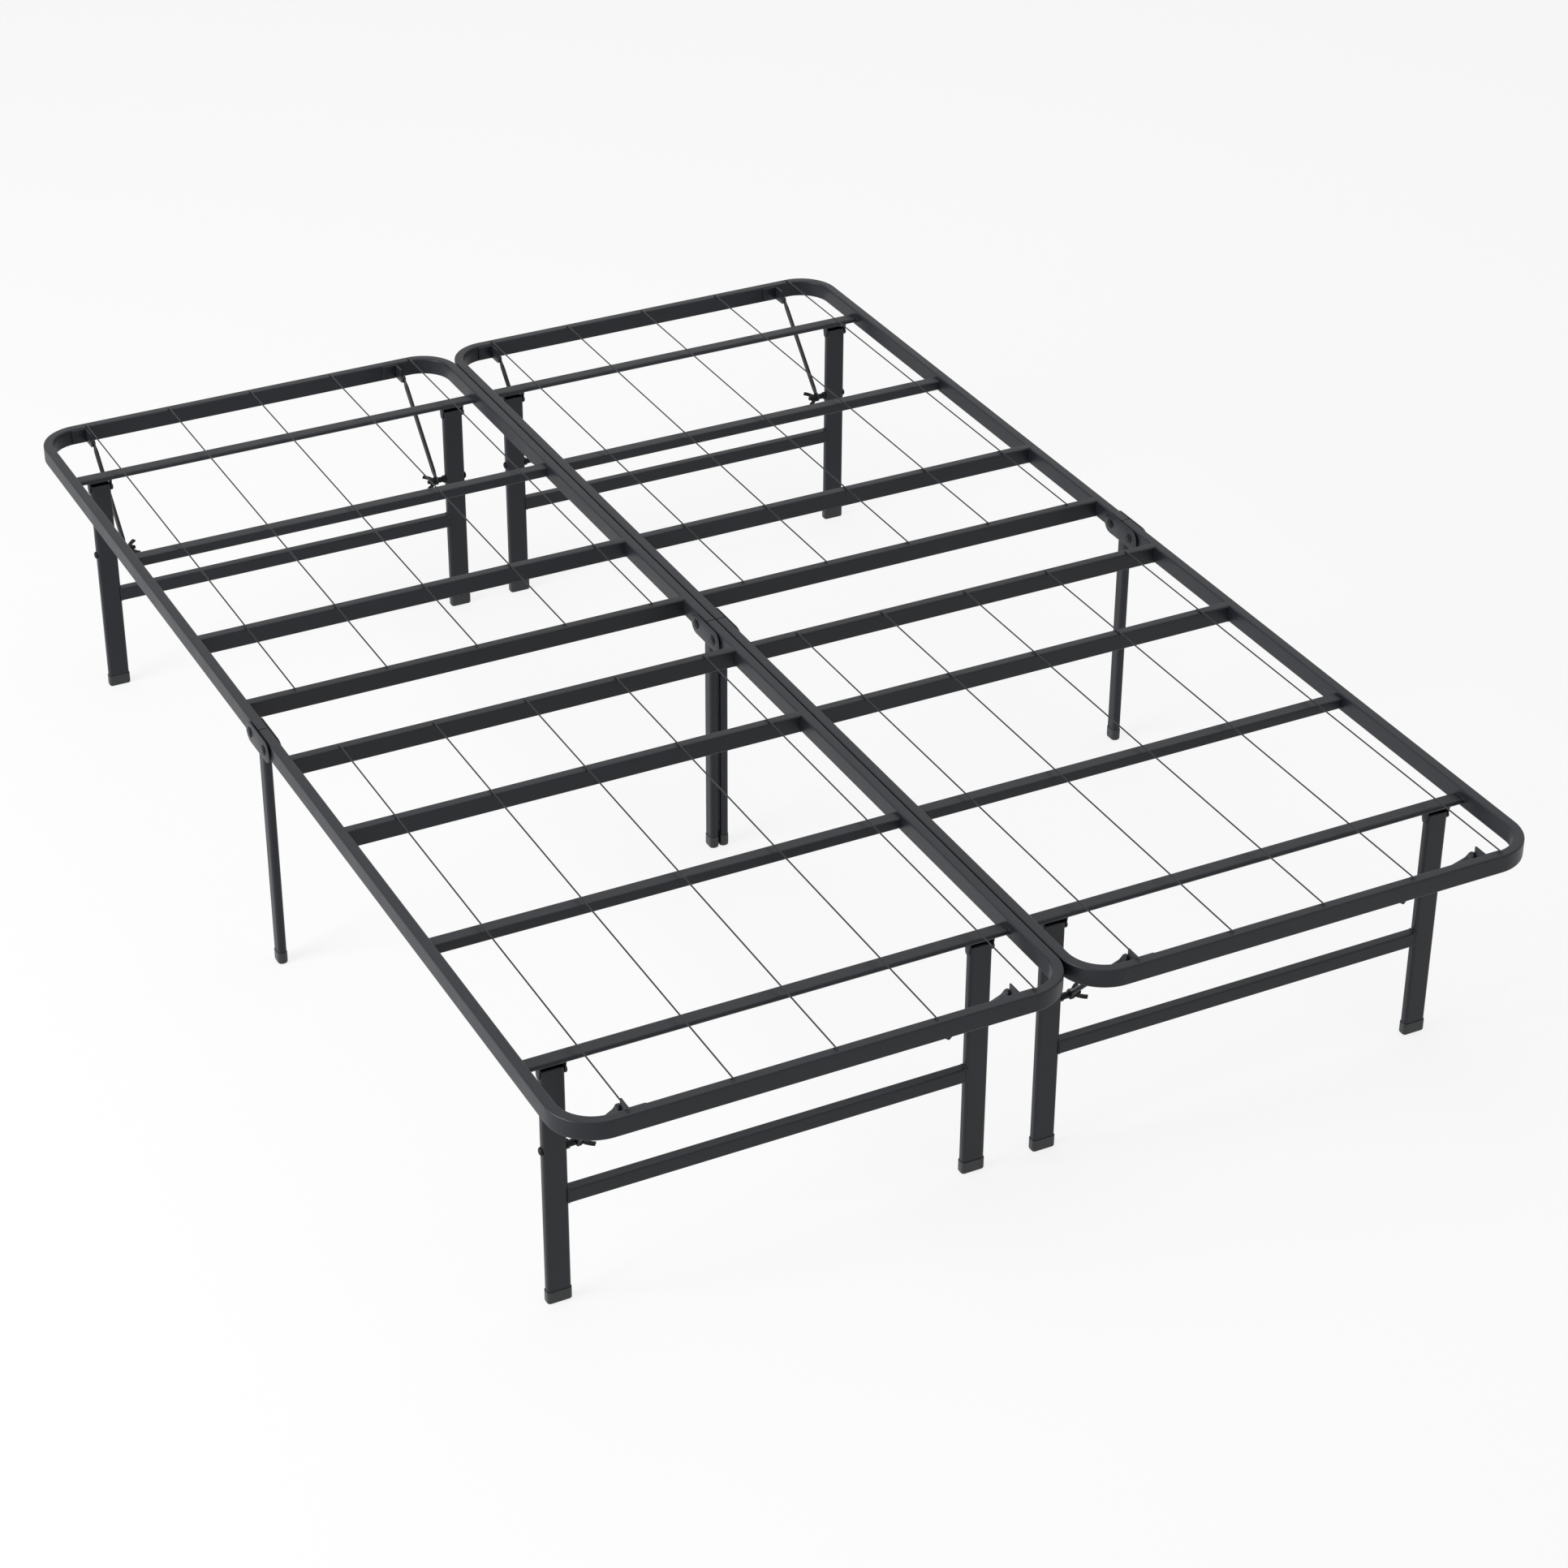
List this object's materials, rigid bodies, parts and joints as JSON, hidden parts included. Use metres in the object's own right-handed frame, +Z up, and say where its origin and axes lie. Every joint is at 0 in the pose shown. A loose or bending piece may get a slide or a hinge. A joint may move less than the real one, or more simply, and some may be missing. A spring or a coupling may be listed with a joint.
{
  "type": "folding bed frame",
  "caption": "Black steel platform bed base of bi-fold units side by side, with welded wires over cross slats, folding braced legs and middle hinge legs.",
  "frame": {"origin": "on the floor under the centre of the bed", "axes": "+X across the bed, +Y from the foot to the head, +Z up"},
  "size_m": [1.3068, 1.9, 0.3581],
  "materials": {
    "black_powder_coat": "satin powder coat",
    "powder_coated_wire": "satin powder coat",
    "foot_plastic": "moulded",
    "black_zinc": "black zinc plate"
  },
  "bodies": {
    "foot_panels": {"left_foot_rail": "black_powder_coat", "left_foot_slat_a": "black_powder_coat", "left_foot_slat_b": "black_powder_coat", "left_foot_slat_c_and_wires": "powder_coated_wire", "left_foot_flat_bar": "black_powder_coat", "right_foot_rail": "black_powder_coat", "right_foot_slat_a": "black_powder_coat", "right_foot_slat_b": "black_powder_coat", "right_foot_slat_c_and_wires": "powder_coated_wire", "right_foot_flat_bar": "black_powder_coat"},
    "left_head_panel": {"left_head_rail": "black_powder_coat", "left_head_slat_a": "black_powder_coat", "left_head_slat_b": "black_powder_coat", "left_head_slat_c_and_wires": "powder_coated_wire", "left_head_flat_bar": "black_powder_coat"},
    "left_foot_legs": {"left_foot_leg_frame": "black_powder_coat", "left_foot_inner_foot_cap": "foot_plastic", "left_foot_outer_foot_cap": "foot_plastic"},
    "left_foot_inner_brace_body": {"left_foot_inner_brace": "black_powder_coat", "left_foot_inner_wing_nut": "black_zinc"},
    "left_foot_outer_brace_body": {"left_foot_outer_brace": "black_powder_coat", "left_foot_outer_wing_nut": "black_zinc"},
    "left_head_legs": {"left_head_leg_frame": "black_powder_coat", "left_head_inner_foot_cap": "foot_plastic", "left_head_outer_foot_cap": "foot_plastic"},
    "left_head_inner_brace_body": {"left_head_inner_brace": "black_powder_coat", "left_head_inner_wing_nut": "black_zinc"},
    "left_head_outer_brace_body": {"left_head_outer_brace": "black_powder_coat", "left_head_outer_wing_nut": "black_zinc"},
    "left_inner_hinge_body": {"left_inner_hinge": "black_powder_coat", "left_inner_middle_leg": "black_powder_coat", "left_inner_middle_leg_cap": "foot_plastic"},
    "left_outer_hinge_body": {"left_outer_hinge": "black_powder_coat", "left_outer_middle_leg": "black_powder_coat", "left_outer_middle_leg_cap": "foot_plastic"},
    "right_head_panel": {"right_head_rail": "black_powder_coat", "right_head_slat_a": "black_powder_coat", "right_head_slat_b": "black_powder_coat", "right_head_slat_c_and_wires": "powder_coated_wire", "right_head_flat_bar": "black_powder_coat"},
    "right_foot_legs": {"right_foot_leg_frame": "black_powder_coat", "right_foot_inner_foot_cap": "foot_plastic", "right_foot_outer_foot_cap": "foot_plastic"},
    "right_foot_inner_brace_body": {"right_foot_inner_brace": "black_powder_coat", "right_foot_inner_wing_nut": "black_zinc"},
    "right_foot_outer_brace_body": {"right_foot_outer_brace": "black_powder_coat", "right_foot_outer_wing_nut": "black_zinc"},
    "right_head_legs": {"right_head_leg_frame": "black_powder_coat", "right_head_inner_foot_cap": "foot_plastic", "right_head_outer_foot_cap": "foot_plastic"},
    "right_head_inner_brace_body": {"right_head_inner_brace": "black_powder_coat", "right_head_inner_wing_nut": "black_zinc"},
    "right_head_outer_brace_body": {"right_head_outer_brace": "black_powder_coat", "right_head_outer_wing_nut": "black_zinc"},
    "right_inner_hinge_body": {"right_inner_hinge": "black_powder_coat", "right_inner_middle_leg": "black_powder_coat", "right_inner_middle_leg_cap": "foot_plastic"},
    "right_outer_hinge_body": {"right_outer_hinge": "black_powder_coat", "right_outer_middle_leg": "black_powder_coat", "right_outer_middle_leg_cap": "foot_plastic"}
  },
  "joints": [
    {"name": "left_outer_hinge_fold", "type": "hinge", "parent": "foot_panels", "child": "left_outer_hinge_body", "pos_m": [-0.641, -0.026, 0.3406], "axis": [-1, 0, 0], "range_deg": [0, 90]},
    {"name": "left_head_fold", "type": "hinge", "parent": "left_outer_hinge_body", "child": "left_head_panel", "pos_m": [-0.641, 0.024, 0.3406], "axis": [-1, 0, 0], "range_deg": [0, 90]},
    {"name": "left_inner_hinge_fold", "type": "hinge", "parent": "foot_panels", "child": "left_inner_hinge_body", "pos_m": [-0.0075, -0.026, 0.3406], "axis": [-1, 0, 0], "range_deg": [0, 90]},
    {"name": "left_foot_leg_fold", "type": "hinge", "parent": "foot_panels", "child": "left_foot_legs", "pos_m": [-0.32425, -0.799, 0.3241], "axis": [1, 0, 0], "range_deg": [0, 90]},
    {"name": "left_foot_outer_brace_fold", "type": "hinge", "parent": "foot_panels", "child": "left_foot_outer_brace_body", "pos_m": [-0.5693, -0.913, 0.3396], "axis": [1, 0, 0], "range_deg": [0, 42.7]},
    {"name": "left_foot_inner_brace_fold", "type": "hinge", "parent": "foot_panels", "child": "left_foot_inner_brace_body", "pos_m": [-0.0792, -0.913, 0.3396], "axis": [1, 0, 0], "range_deg": [0, 42.7]},
    {"name": "left_head_leg_fold", "type": "hinge", "parent": "left_head_panel", "child": "left_head_legs", "pos_m": [-0.32425, 0.797, 0.3241], "axis": [-1, 0, 0], "range_deg": [0, 90]},
    {"name": "left_head_outer_brace_fold", "type": "hinge", "parent": "left_head_panel", "child": "left_head_outer_brace_body", "pos_m": [-0.5693, 0.913, 0.3396], "axis": [-1, 0, 0], "range_deg": [0, 42.2]},
    {"name": "left_head_inner_brace_fold", "type": "hinge", "parent": "left_head_panel", "child": "left_head_inner_brace_body", "pos_m": [-0.0792, 0.913, 0.3396], "axis": [-1, 0, 0], "range_deg": [0, 42.2]},
    {"name": "right_outer_hinge_fold", "type": "hinge", "parent": "foot_panels", "child": "right_outer_hinge_body", "pos_m": [0.641, -0.026, 0.3406], "axis": [-1, 0, 0], "range_deg": [0, 90]},
    {"name": "right_head_fold", "type": "hinge", "parent": "right_outer_hinge_body", "child": "right_head_panel", "pos_m": [0.641, 0.024, 0.3406], "axis": [-1, 0, 0], "range_deg": [0, 90]},
    {"name": "right_inner_hinge_fold", "type": "hinge", "parent": "foot_panels", "child": "right_inner_hinge_body", "pos_m": [0.0075, -0.026, 0.3406], "axis": [-1, 0, 0], "range_deg": [0, 90]},
    {"name": "right_foot_leg_fold", "type": "hinge", "parent": "foot_panels", "child": "right_foot_legs", "pos_m": [0.32425, -0.799, 0.3241], "axis": [1, 0, 0], "range_deg": [0, 90]},
    {"name": "right_foot_outer_brace_fold", "type": "hinge", "parent": "foot_panels", "child": "right_foot_outer_brace_body", "pos_m": [0.5693, -0.913, 0.3396], "axis": [1, 0, 0], "range_deg": [0, 42.7]},
    {"name": "right_foot_inner_brace_fold", "type": "hinge", "parent": "foot_panels", "child": "right_foot_inner_brace_body", "pos_m": [0.0792, -0.913, 0.3396], "axis": [1, 0, 0], "range_deg": [0, 42.7]},
    {"name": "right_head_leg_fold", "type": "hinge", "parent": "right_head_panel", "child": "right_head_legs", "pos_m": [0.32425, 0.797, 0.3241], "axis": [-1, 0, 0], "range_deg": [0, 90]},
    {"name": "right_head_outer_brace_fold", "type": "hinge", "parent": "right_head_panel", "child": "right_head_outer_brace_body", "pos_m": [0.5693, 0.913, 0.3396], "axis": [-1, 0, 0], "range_deg": [0, 42.2]},
    {"name": "right_head_inner_brace_fold", "type": "hinge", "parent": "right_head_panel", "child": "right_head_inner_brace_body", "pos_m": [0.0792, 0.913, 0.3396], "axis": [-1, 0, 0], "range_deg": [0, 42.2]}
  ],
  "couplings": [
    {"joint": "left_inner_hinge_fold", "follows": "left_outer_hinge_fold", "ratio": 1},
    {"joint": "left_foot_outer_brace_fold", "follows": "left_foot_leg_fold", "ratio": 0.474},
    {"joint": "left_foot_inner_brace_fold", "follows": "left_foot_leg_fold", "ratio": 0.474},
    {"joint": "left_head_outer_brace_fold", "follows": "left_head_leg_fold", "ratio": 0.468},
    {"joint": "left_head_inner_brace_fold", "follows": "left_head_leg_fold", "ratio": 0.468},
    {"joint": "right_inner_hinge_fold", "follows": "right_outer_hinge_fold", "ratio": 1},
    {"joint": "right_foot_outer_brace_fold", "follows": "right_foot_leg_fold", "ratio": 0.474},
    {"joint": "right_foot_inner_brace_fold", "follows": "right_foot_leg_fold", "ratio": 0.474},
    {"joint": "right_head_outer_brace_fold", "follows": "right_head_leg_fold", "ratio": 0.468},
    {"joint": "right_head_inner_brace_fold", "follows": "right_head_leg_fold", "ratio": 0.468}
  ]
}
